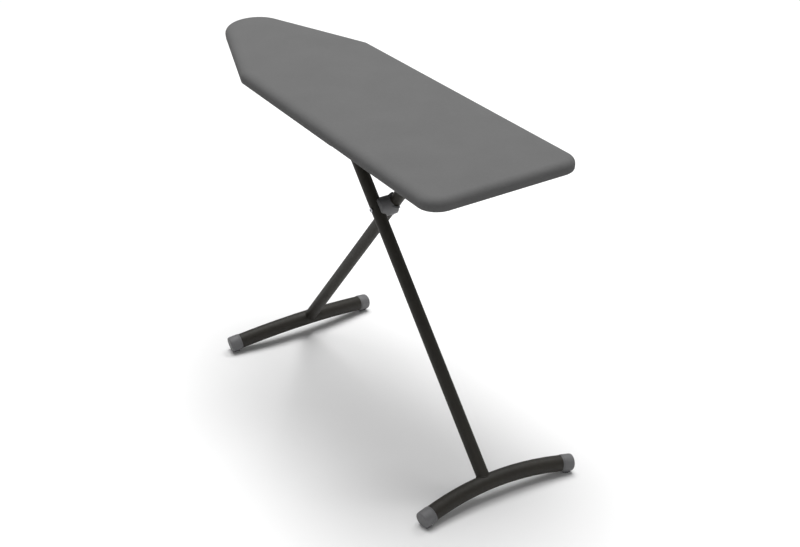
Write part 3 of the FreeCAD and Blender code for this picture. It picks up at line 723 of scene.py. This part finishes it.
@dataclass
class IroningCover:
    """Fitted cloth cover: a soft rolled edge, a short skirt and an elastic hem turned in below."""

    outline: BoardOutline
    surface: float
    skirt_bottom: float
    cloth: float = 1.0 * MM
    roll_drop: float = 18.0 * MM
    roll_steps: int = 16
    middle_rings: int = 20
    hem_roll: float = 3.0 * MM
    hem_width: float = 16.0 * MM
    seam_inset: float = 11.8 * MM
    stitch_pitch: float = 3.6 * MM
    stitch_length: float = 2.7 * MM
    thread: float = 0.42 * MM
    stitch_height: float = 0.021 * MM
    lap_drop: float = 1.3 * MM
    lap_place: float = 187.0 * MM
    lap_softness: float = 1.2 * MM
    ripple: float = 0.22 * MM
    pucker: float = 0.7 * MM
    pucker_pitch: float = 17.0 * MM
    pucker_on_straights: float = 0.15
    pucker_kept: float = 0.25
    elastic_pull: float = 0.6 * MM
    hem_lift: float = 0.2
    edge_saving: float = 7.0 * MM
    cut_area_share: float = 0.86
    skirt_steps: int = 5
    turn_steps: int = 4
    hem_steps: int = 6

    def roll(self, normals: np.ndarray) -> tuple[np.ndarray, np.ndarray, np.ndarray]:
        """Work out the rolled edge, whose bend tightens on its way down.

        The long sides roll over softly and the heel more tightly.

        Args:
            normals: outward normal at each outline point.

        Returns:
            For each step and outline point: inset, drop and distance along the cloth.
        """
        long_side_tightness, heel_easing, fine = 1.75, 0.6, 160
        tightness = long_side_tightness - heel_easing * np.clip(normals[:, 0], 0.0, 1.0) ** 2
        stops = (np.arange(fine) + 0.5) / fine
        slope = QUARTER_TURN * stops[:, None] ** tightness[None, :]
        along = np.cumsum(np.cos(slope), axis=0) / fine
        down = np.cumsum(np.sin(slope), axis=0) / fine
        length = self.roll_drop / down[-1]
        picks = [round((step + 1) * fine / self.roll_steps) - 1 for step in range(self.roll_steps)]
        level = np.zeros((1, len(normals)))
        inset = np.concatenate([along[-1:], along[-1] - along[picks]]) * length
        drop = np.concatenate([level, down[picks] * length])
        travel = np.concatenate([level, (np.array(picks)[:, None] + 1) / fine * length])
        return inset, drop, travel

    def lap(self, points: np.ndarray) -> np.ndarray:
        """Extra drop of the skirt where the hem's lap ends, on the right-hand long side."""
        past = 1.0 / (1.0 + np.exp(-(points[:, 0] - self.lap_place) / self.lap_softness))
        return np.where(points[:, 1] < 0.0, 1.0 - past, 0.0) * self.lap_drop

    def ripples(self, spots: np.ndarray) -> np.ndarray:
        """Slight hollows, a third to half a metre apart, where the cloth eases over the pad."""
        x, y = spots[:, 0], spots[:, 1]
        return -self.ripple * (1.0 + np.sin(17.0 * x + 9.0 * y + 0.6) * np.sin(13.0 * y - 6.0 * x)) / 2.0

    def puckers(self, edge: np.ndarray, normals: np.ndarray) -> np.ndarray:
        """Waves that the elastic gathers into the hem, strongest round the two ends.

        Args:
            edge: points on the board's outline.
            normals: outward normal at each.

        Returns:
            How far the hem is drawn in at each point.
        """
        run = np.cumsum(np.linalg.norm(np.roll(edge, -1, axis=0) - edge, axis=1))
        bend = np.clip(np.abs(normals[:, 0]), 0.0, 1.0)
        strength = self.pucker_on_straights + (1.0 - self.pucker_on_straights) * bend
        return np.sin(run * FULL_TURN / self.pucker_pitch) * strength * self.pucker

    def build(self) -> Piece:
        """Loft the cloth from its middle line out over the edge and round under the hem.

        Returns:
            The cover, with its flat pattern as a UV map and its thickness from a modifier.
        """
        edge, normals = self.outline.walk()
        spine = self.outline.spine(edge)
        inset, drop, travel = self.roll(normals)
        shoulder = edge - normals * inset[0][:, None]
        rings, flats = [], []

        def add_ring(inward: np.ndarray, height: np.ndarray, reach: np.ndarray) -> None:
            """Add a ring by its inset, its height and its distance from the shoulder along the cloth."""
            rings.append(np.column_stack([edge - normals * inward[:, None], height]))
            flats.append(shoulder + normals * reach[:, None])

        for ring in range(self.middle_rings):
            spot = spine + (shoulder - spine) * (ring / self.middle_rings)
            rings.append(np.column_stack([spot, self.surface + self.ripples(spot)]))
            flats.append(spot)
        for step in range(self.roll_steps + 1):
            hollow = self.ripples(edge - normals * inset[step][:, None]) * (1.0 - step / self.roll_steps)
            add_ring(inset[step], self.surface - drop[step] + hollow, travel[step])
        top, reach = self.surface - self.roll_drop, travel[-1]
        bottom = self.skirt_bottom + self.hem_roll + self.lap_drop - self.lap(edge)
        gathered = self.puckers(edge, normals)
        kept = self.pucker_kept
        for step in range(1, self.skirt_steps + 1):
            share = step / self.skirt_steps
            height = top + (bottom - top) * share
            pull = (self.elastic_pull + kept * gathered) * share ** 2 + kept * self.pucker * share
            add_ring(pull, height, reach + top - height)
        reach = reach + top - bottom
        tuck = self.elastic_pull + kept * (gathered + self.pucker)
        for step in range(1, self.turn_steps + 1):
            angle = QUARTER_TURN * step / self.turn_steps
            add_ring(tuck + self.hem_roll * (1.0 - math.cos(angle)),
                     bottom - self.hem_roll * math.sin(angle), reach + self.hem_roll * angle)
        reach = reach + self.hem_roll * QUARTER_TURN
        for step in range(1, self.hem_steps + 1):
            share = step / self.hem_steps
            inward = self.hem_roll + (self.hem_width - self.hem_roll) * share
            wave = np.maximum(gathered, 0.0) * math.sin(math.pi * share)
            lift = self.hem_lift * (self.cloth * share + wave)
            add_ring(tuck + inward, bottom - self.hem_roll + lift, reach + inward)
        faces = [face[::-1] for face in tube_faces(len(rings), len(edge))]
        cover = mesh_piece("ironing_cover_cloth", np.concatenate(rings), faces, np.concatenate(flats))
        thicken = cover.modifiers.new("cloth_thickness", "SOLIDIFY")
        thicken.thickness = self.cloth
        thicken.offset = -1.0
        return cover

    def build_stitching(self) -> Piece:
        """Lay a row of stitches on the hem's underside.

        Returns:
            The stitches as one piece.
        """
        edge, normals = self.outline.walk()
        line = edge - normals * self.seam_inset
        line = np.concatenate([line, line[:1]])
        travel = np.concatenate([[0.0], np.cumsum(np.linalg.norm(np.diff(line, axis=0), axis=1))])
        count = int(travel[-1] / self.stitch_pitch)
        low = self.skirt_bottom + self.stitch_height
        shape = ((0.0, 0.5, 0.55), (0.25, 0.0, 1.0), (0.75, 0.0, 1.0), (1.0, 0.5, 0.55))
        parts = []
        for index in range(count):
            middle = (index + 0.5) * travel[-1] / count
            start, end = [np.array([np.interp(middle + offset, travel, line[:, axis]) for axis in (0, 1)])
                          for offset in (-self.stitch_length / 2.0, self.stitch_length / 2.0)]
            height = low + float(self.lap_drop - self.lap(start[None, :])[0])
            path = [np.append(start + (end - start) * share, height + rise * self.thread)
                    for share, rise, _ in shape]
            parts.append(swept(np.array(path), lambda spot: self.thread * shape[spot][2],
                               sides=6, closed=False))
        return mesh_piece("cover_hem_stitching", *joined(parts))

    def make(self, palette: Palette) -> None:
        """Args:
            palette: the finishes.
        """
        cover, stitching = self.build(), self.build_stitching()
        palette.fit(cover, Finish.COVER, "board")
        palette.fit(stitching, Finish.THREAD, "board")
        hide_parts("ironing_cover")


@dataclass
class FoamPad:
    """Felt-faced foam pad: crowned, thinner towards its edge and flat where it lies on the steel."""

    outline: BoardOutline
    bottom: float
    top: float
    edge_inset: float = 12.0 * MM
    edge_height: float = 4.6 * MM
    slope_width: float = 24.0 * MM
    clear_of_cloth: float = 0.8 * MM
    dimple: float = 0.2 * MM
    side_bulge: float = 0.8 * MM
    slope_power: float = 2.2
    rings_flat: int = 12
    rings_slope: int = 10
    rings_bottom: int = 5

    def build(self) -> Piece:
        """Loft the pad as one closed form.

        Returns:
            The pad.
        """
        edge, normals = self.outline.walk()
        spine = self.outline.spine(edge)
        crown = self.top - self.clear_of_cloth
        shoulder = edge - normals * (self.edge_inset + self.slope_width)
        rings = []
        for ring in range(self.rings_flat):  # soft dimples, about 200 mm apart
            spot = spine + (shoulder - spine) * (ring / self.rings_flat)
            waves = np.sin(31.0 * spot[:, 0]) * np.sin(27.0 * spot[:, 1] + 1.0)
            rings.append(np.column_stack([spot, crown + self.dimple * (waves - 1.0)]))

        def add_level(plan: np.ndarray, height: float) -> None:
            """Add a ring that lies level."""
            rings.append(np.column_stack([plan, np.full(len(plan), height)]))

        fall = crown - self.bottom - self.edge_height
        for ring in range(self.rings_slope + 1):
            share = ring / self.rings_slope
            add_level(shoulder + normals * (self.slope_width * share),
                      crown - fall * share ** self.slope_power)
        for share in (0.7, 0.3):
            add_level(edge - normals * (self.edge_inset - self.side_bulge),
                      self.bottom + self.edge_height * share)
        rim = edge - normals * self.edge_inset
        for ring in range(self.rings_bottom):
            add_level(spine + (rim - spine) * (1.0 - ring / (self.rings_bottom - 1)), self.bottom)
        return mesh_piece("foam_pad_felt", np.concatenate(rings), tube_faces(len(rings), len(edge)))

    def make(self, palette: Palette) -> None:
        """Args:
            palette: the finishes.
        """
        pad = self.build()
        palette.fit(pad, Finish.FELT, "board")
        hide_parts("foam_pad")


@dataclass
class UndersideFixings:
    """Rivet heads and spot welds that hold the brackets, rails and stays to the steel top."""

    head_radius: float = 4.0 * MM
    head_height: float = 1.6 * MM
    weld_radius: float = 2.6 * MM
    weld_height: float = 0.25 * MM
    bracket_flange: float = 2.0 * MM
    rail_flange: float = 1.5 * MM
    rod_flange: float = 2.5 * MM
    stay_flange: float = 1.2 * MM
    rail_rivets: int = 4
    bracket_end: float = 10.0 * MM
    bracket_edge: float = 11.0 * MM
    rail_edge: float = 6.5 * MM
    rod_bracket_edge: float = 6.5 * MM
    stay_edge: float = 3.6 * MM
    weld_pitch: float = 55.0 * MM

    def head(self, place: Vector) -> Mesh:
        """Shape one domed rivet head that hangs below a flange.

        Args:
            place: middle of the head on the flange's underside.

        Returns:
            Points and faces.
        """
        steps = 6
        profile = [(0.0, self.head_radius)]
        for step in range(1, steps + 1):
            angle = QUARTER_TURN * step / steps
            profile.append((self.head_height * math.sin(angle),
                            max(self.head_radius * math.cos(angle), ALMOST_NOTHING)))
        return turned(profile, place, DOWN, around=24)

    def weld(self, place: Vector) -> Mesh:
        """Shape one shallow spot weld, dished in its middle.

        Args:
            place: middle of the weld on the flange's underside.

        Returns:
            Points and faces.
        """
        shape = ((0.0, 1.0), (1.0, 0.86), (0.4, 0.55))
        profile = [(self.weld_height * height, self.weld_radius * radius) for height, radius in shape]
        return turned(profile + [(self.weld_height * 0.3, ALMOST_NOTHING)], place, DOWN, around=20)

    def rivet_places(self, sheet_bottom: float) -> list[Vector]:
        """Work out where the rivets sit from the CAD brackets and rails.

        Args:
            sheet_bottom: height of the steel sheet's underside.

        Returns:
            Places on the flanges' undersides.
        """
        places = []
        for side, sign in (("left", 1.0), ("right", -1.0)):
            low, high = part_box("hinge_bracket_" + side)
            y = sign * (max(abs(low.y), abs(high.y)) - self.bracket_edge)
            for x in (low.x + self.bracket_end, high.x - self.bracket_end):
                places.append(Vector((x, y, sheet_bottom - self.bracket_flange)))
            low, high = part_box("slide_rail_" + side)
            y = sign * (min(abs(low.y), abs(high.y)) + self.rail_edge)
            for index in range(self.rail_rivets):
                x = low.x + (high.x - low.x) * (index + 0.5) / self.rail_rivets
                places.append(Vector((x, y, sheet_bottom - self.rail_flange)))
        front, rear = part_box("rod_bracket_front"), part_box("rod_bracket_rear")
        for (low, high), x in ((front, front[0].x + self.rod_bracket_edge),
                               (rear, rear[1].x - self.rod_bracket_edge)):
            places.append(Vector((x, (low.y + high.y) / 2.0, sheet_bottom - self.rod_flange)))
        return places

    def weld_places(self, sheet_bottom: float) -> list[Vector]:
        """Work out where the stays are welded to the sheet.

        Args:
            sheet_bottom: height of the steel sheet's underside.

        Returns:
            Places on the stays' flanges.
        """
        places = []
        for number in (1, 2, 3):
            low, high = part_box("cross_stay_" + str(number))
            count = int((high.y - low.y) / self.weld_pitch)
            for index in range(count):
                y = low.y + (high.y - low.y) * (index + 0.5) / count
                for x in (low.x + self.stay_edge, high.x - self.stay_edge):
                    places.append(Vector((x, y, sheet_bottom - self.stay_flange)))
        return places

    def make(self, palette: Palette) -> None:
        """Build and dress the rivets and the welds.

        Args:
            palette: the finishes.
        """
        sheet_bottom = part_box("steel_top")[0].z
        heads = [self.head(place) for place in self.rivet_places(sheet_bottom)]
        palette.fit(mesh_piece("underside_rivets", *joined(heads)), Finish.ZINC, "board")
        welds = [self.weld(place) for place in self.weld_places(sheet_bottom)]
        palette.fit(mesh_piece("stay_spot_welds", *joined(welds)), Finish.GREY_ENAMEL, "board")


# ---- legs --------------------------------------------------------------------------------------
class LegSide(Enum):
    """The two T legs, by the end that their feet stand under."""

    NOSE = "nose_leg"
    HEEL = "heel_leg"


@dataclass
class TLeg:
    """One T leg's visible making: weld beads at its joints and moulded caps on its foot."""

    side: LegSide
    top: Vector
    pivot: Vector
    foot_end_height: float = 21.6 * MM
    tube_radius: float = 16.0 * MM
    foot_radius: float = 20.0 * MM
    axle_radius: float = 10.0 * MM
    foot_span: float = 436.0 * MM
    foot_sag: float = 29.0 * MM
    foot_end_run: float = 38.0 * MM
    bead: float = 1.5 * MM
    cap_radius: float = 21.4 * MM
    cap_length: float = 28.0 * MM
    cap_round: float = 4.2 * MM
    cap_end_step: float = 0.25 * MM
    cap_rim: float = 0.5 * MM
    cap_ring_gap: float = 3.0 * MM
    collar_edge: float = 0.3 * MM
    collar_radius: float = 20.6 * MM
    collar_length: float = 4.0 * MM
    bore_radius: float = 20.06 * MM
    end_wall: float = 4.9 * MM
    sole_half_width: float = 9.0 * MM
    sole_end: float = 4.0 * MM
    sole_depth: float = 6.0 * MM
    skin: float = 0.9 * MM

    def __post_init__(self) -> None:
        """Work out the leg's directions from its hinge and the pivot, and how its foot bends down."""
        low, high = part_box(self.side.value + "_tube")
        self.offset = Vector((0.0, (low.y + high.y) / 2.0, 0.0))
        self.up = (self.top - self.pivot).normalized()
        self.across = Vector((0.0, 1.0, 0.0))
        self.fore = self.across.cross(self.up)
        chord = self.pivot - self.up * ((self.pivot.z - self.foot_end_height) / self.up.z)
        self.foot_centre = Vector((chord.x, 0.0, chord.z))
        half = self.foot_span / 2.0
        run = self.foot_end_run
        tangent = (half ** 2 + self.foot_sag ** 2 - run ** 2) / (2.0 * (half + run))
        self.foot_bend = math.atan2(self.foot_sag, half - tangent)

    def ripple(self, spot: int) -> float:
        """Radius of a weld bead, which rises and falls with each drop of filler."""
        return self.bead * (1.0 + 0.13 * math.sin(spot * 2.1) + 0.05 * math.sin(spot * 0.37))

    def weld(self, middle: Vector, first: Vector, second: Vector, out: Vector,
             radii: tuple[float, float], stops: int, size: float = 1.0) -> Mesh:
        """Bead where a round tube stands on another that it crosses at a right angle.

        Args:
            middle: where the two axes meet.
            first: direction across the standing tube in which the bead starts.
            second: direction across the standing tube a quarter turn on.
            out: direction in which the standing tube leaves the other.
            radii: of the standing tube and of the other.
            stops: points round the bead.
            size: the bead's size against the leg's usual one.

        Returns:
            Points and faces.
        """
        stub, run = radii
        path = []
        for stop in range(stops):
            angle = FULL_TURN * stop / stops
            offset = first * (stub * math.cos(angle)) + second * (stub * math.sin(angle))
            path.append(tuple(middle + offset + out * math.sqrt(run ** 2 - offset.dot(self.fore) ** 2)))
        return swept(np.array(path), lambda spot: size * self.ripple(spot), sides=10, closed=True)

    def welds(self) -> Piece:
        """Run the beads where the tube meets the foot and where the axle leaves the tube on each side.

        Returns:
            The beads as one piece.
        """
        foot = self.foot_centre + self.up * self.foot_sag + self.offset
        beads = [self.weld(foot, self.fore, self.across, self.up,
                           (self.tube_radius, self.foot_radius), 96)]
        for side in (1.0, -1.0):
            beads.append(self.weld(self.top + self.offset, self.up, self.fore, self.across * side,
                                   (self.axle_radius, self.tube_radius), 64, 0.75))
        return mesh_piece(self.side.value + "_weld_beads", *joined(beads))

    def cap_profile(self) -> list[tuple[float, float]]:
        """Section of a foot cap from its end face inward, and back along its bore.

        Steps of a tenth to half a millimetre soften the moulding's edges.

        Returns:
            Pairs of distance from the end face and radius.
        """
        bend = self.cap_round
        profile = [(0.0, 0.25 * self.cap_radius), (0.0, self.cap_radius - 1.25 * bend)]
        steps = 7
        for step in range(1, steps + 1):
            angle = QUARTER_TURN * step / steps
            profile.append((bend * (1.0 - math.cos(angle)),
                            self.cap_radius - self.cap_end_step - bend * (1.0 - math.sin(angle))))
        stations = np.arange(7.0 * MM, self.cap_length - 1.0 * MM, self.cap_ring_gap)
        profile += [(float(station), self.cap_radius) for station in stations]
        profile += [(self.cap_length - self.cap_rim, self.cap_radius),
                    (self.cap_length, self.cap_radius - 0.9 * self.cap_rim),
                    (self.cap_length + 0.1 * MM, self.collar_radius + 0.1 * MM)]
        reach = self.cap_length + self.collar_length
        profile += [(reach - self.collar_edge, self.collar_radius),
                    (reach, self.collar_radius - 0.25 * MM),
                    (reach, self.bore_radius), (reach - 1.0 * MM, self.bore_radius),
                    (self.end_wall, self.bore_radius), (self.end_wall, 0.3 * self.bore_radius)]
        return profile

    def build_cap(self, side: float) -> Piece:
        """Turn one foot cap and press its sole flat on the floor.

        Args:
            side: +1 for the left end of the foot and -1 for the right.

        Returns:
            The cap.
        """
        out = self.across * (side * math.cos(self.foot_bend)) - self.up * math.sin(self.foot_bend)
        point = self.foot_centre + self.across * (side * self.foot_span / 2.0)
        points, faces = turned(self.cap_profile(), point, -out, around=56)
        for spot in points:
            inward = (Vector(spot) - point).dot(-out)
            under = (self.sole_end < inward < self.cap_length - self.sole_end
                     and abs(spot[0] - point.x) < self.sole_half_width and spot[2] < self.sole_depth)
            outer = (Vector(spot) - point + out * inward).length > self.cap_radius - self.skin
            if (under and outer) or spot[2] < 0.0:
                spot[2] = 0.0
        name = self.side.value + ("_cap_left" if side > 0 else "_cap_right")
        cap = mesh_piece(name + "_moulded", points, faces)
        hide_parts(name)
        return cap

    def make(self, palette: Palette) -> None:
        """Build and dress the welds and the caps.

        Args:
            palette: the finishes.
        """
        palette.fit(self.welds(), Finish.BLACK_COAT, self.side.value)
        for side in (1.0, -1.0):
            palette.fit(self.build_cap(side), Finish.GREY_PLASTIC, self.side.value)


# ---- clutch and lever --------------------------------------------------------------------------
@dataclass
class ClutchDressing:
    """Coil spring on the guide rod and the ribbed grip on the release lever."""

    wire: float = 0.9 * MM
    coil_radius: float = 7.6 * MM
    turns: float = 5.0
    steps_per_turn: int = 36
    grip_radius: float = 9.0 * MM
    grip_ribs: int = 12
    rib_depth: float = 0.7 * MM
    rib_margin: float = 12.0 * MM
    grip_round: float = 4.0 * MM

    def build_spring(self) -> Piece:
        """Wind the spring between the ends that the CAD model gives it.

        Returns:
            The spring.
        """
        low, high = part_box("clutch_spring")
        rod_low, rod_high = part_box("guide_rod")
        centre = (rod_low + rod_high) / 2.0
        start, end = low.x + self.wire, high.x - self.wire
        steps = int(self.turns * self.steps_per_turn)
        path = []
        for step in range(steps + 1):
            angle = FULL_TURN * step / self.steps_per_turn
            path.append((start + (end - start) * step / steps,
                         centre.y + self.coil_radius * math.cos(angle),
                         centre.z + self.coil_radius * math.sin(angle)))
        wire = swept(np.array(path), lambda spot: self.wire, sides=12, closed=False)
        return mesh_piece("clutch_spring_wire", *wire)

    def build_grip(self) -> Piece:
        """Turn the grip with finger ribs and a rounded end.

        Returns:
            The grip.
        """
        low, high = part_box("lever_grip")
        length = high.x - low.x
        base = Vector((low.x, (low.y + high.y) / 2.0, (low.z + high.z) / 2.0))
        steps = 120
        profile = []
        for step in range(steps + 1):
            along = length * step / steps
            edge = min(along, length - along) / self.grip_round
            dome = 1.0 if edge >= 1.0 else math.sqrt(max(1.0 - (1.0 - edge) ** 2, 0.0))
            phase = (along - self.rib_margin) / (length - 2.0 * self.rib_margin)
            rib = math.sin(math.pi * self.grip_ribs * phase) ** 2 if 0.0 < phase < 1.0 else 0.0
            profile.append((along, self.grip_radius - self.rib_depth * rib
                            - self.grip_round * (1.0 - dome)))
        return mesh_piece("lever_grip_ribbed", *turned(profile, base, Vector((1.0, 0.0, 0.0))))

    def make(self, palette: Palette) -> None:
        """Build and dress the spring and the grip.

        Args:
            palette: the finishes.
        """
        spring, grip = self.build_spring(), self.build_grip()
        palette.fit(spring, Finish.ZINC, "carriage")
        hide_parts("clutch_spring")
        palette.fit(grip, Finish.BLACK_PLASTIC, "lever")
        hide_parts("lever_grip")


# ---- studio ------------------------------------------------------------------------------------
@dataclass(frozen=True)
class SoftLight:
    """Square soft light: its name, place, side and watts."""

    name: str
    place: tuple[float, float, float]
    side: float
    watts: float

    def hang(self, aim: Vector) -> None:
        """Hang the light, facing a point.

        Args:
            aim: the point that it faces.
        """
        lamp = bpy.data.lights.new(self.name, "AREA")
        lamp.size = self.side
        lamp.energy = self.watts
        holder = bpy.data.objects.new(self.name, lamp)
        place = Vector(self.place)
        turn = (place - aim).to_track_quat("Z", "Y").to_matrix().to_4x4()
        holder.matrix_world = Matrix.Translation(place) @ turn
        bpy.context.scene.collection.objects.link(holder)


@dataclass
class Studio:
    """Pale floor, two soft lights, a pale sky and the camera."""

    azimuth: float = 58.6
    elevation: float = 28.42
    roll: float = -1.48
    camera_place: tuple[float, float, float] = (3.50024, -2.0398, 2.543)
    lens: float = 81.05
    sensor: float = 36.0
    floor_reach: float = 18.0
    flat_reach: float = 5.0
    dish: float = 0.05
    floor_gap: float = 0.4 * MM
    ring_crowding: float = 1.5
    sky: float = 0.22
    middle: tuple[float, float, float] = (0.0, 0.0, 0.8)
    lights: tuple[SoftLight, ...] = (SoftLight("overhead_bank", (-0.9, 0.75, 6.2), 5.1, 622.0),
                                     SoftLight("front_fill", (3.2, -1.2, 1.7), 2.0, 12.0))

    def build_floor(self) -> None:
        """Lay a floor that dishes up gently far from the board."""
        rings, around = 24, 64
        points = []
        for ring in range(1, rings + 1):
            radius = self.floor_reach * (ring / rings) ** self.ring_crowding
            height = self.dish * max(radius - self.flat_reach, 0.0) ** 2 - self.floor_gap
            for spot in range(around):
                angle = FULL_TURN * spot / around
                points.append((radius * math.cos(angle), radius * math.sin(angle), height))
        faces = tube_faces(rings, around)
        faces.append(list(range(around))[::-1])
        floor = mesh_piece("studio_floor", np.array(points), faces)
        floor.data.materials.append(StudioPaper().make())

    def build_lights(self) -> None:
        """Light the board from a broad bank overhead, with a weaker one in front of the heel."""
        for light in self.lights:
            light.hang(Vector(self.middle))
        world = bpy.data.worlds.new("studio_sky")
        world.use_nodes = True
        background = world.node_tree.nodes["Background"]
        background.inputs["Color"].default_value = (1.0, 1.0, 1.0, 1.0)
        background.inputs["Strength"].default_value = self.sky
        bpy.context.scene.world = world
        bpy.context.scene.view_settings.view_transform = "Standard"

    def build_camera(self) -> None:
        """Set the camera by its place, its two angles and its roll."""
        turn, lift, tilt = (math.radians(a) for a in (self.azimuth, self.elevation, self.roll))
        back = Vector((math.sin(turn) * math.cos(lift), -math.cos(turn) * math.cos(lift), math.sin(lift)))
        level = Vector((math.cos(turn), math.sin(turn), 0.0))
        above = back.cross(level)
        right = level * math.cos(tilt) + above * math.sin(tilt)
        upward = above * math.cos(tilt) - level * math.sin(tilt)
        data = bpy.data.cameras.new("camera")
        data.sensor_width = self.sensor
        data.lens = self.lens
        data.clip_end = 100.0
        camera = bpy.data.objects.new("camera", data)
        axes = Matrix((right, upward, back)).transposed().to_4x4()
        camera.matrix_world = Matrix.Translation(Vector(self.camera_place)) @ axes
        bpy.context.scene.collection.objects.link(camera)
        bpy.context.scene.camera = camera

    def make(self) -> None:
        """Build the floor, the lights and the camera."""
        self.build_floor()
        self.build_lights()
        self.build_camera()
        LOG.info("studio: floor, %d soft lights, camera", len(self.lights))


def joint_place(name: str) -> Vector:
    """Place of one of the record's joints."""
    return next(Vector(joint["pos_m"]) for joint in frame["joints"] if joint["name"] == name)


def main() -> None:
    """Build the looks of the ironing board piece by piece."""
    logging.basicConfig(level=logging.INFO, format="%(message)s")
    palette = Palette()
    palette.dress_frame()
    cover_low, cover_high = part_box("ironing_cover")
    pad_low, pad_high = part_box("foam_pad")
    size = cover_high - cover_low
    outline = BoardOutline(length=size.x, heel_width=size.y)
    FoamPad(outline, pad_low.z, pad_high.z).make(palette)
    IroningCover(outline, cover_high.z, cover_low.z).make(palette)
    UndersideFixings().make(palette)
    pivot = joint_place("leg_cross")
    TLeg(LegSide.NOSE, joint_place("fold"), pivot).make(palette)
    TLeg(LegSide.HEEL, joint_place("carriage_turn"), pivot).make(palette)
    ClutchDressing().make(palette)
    Studio().make()


if __name__ == "__main__":
    main()
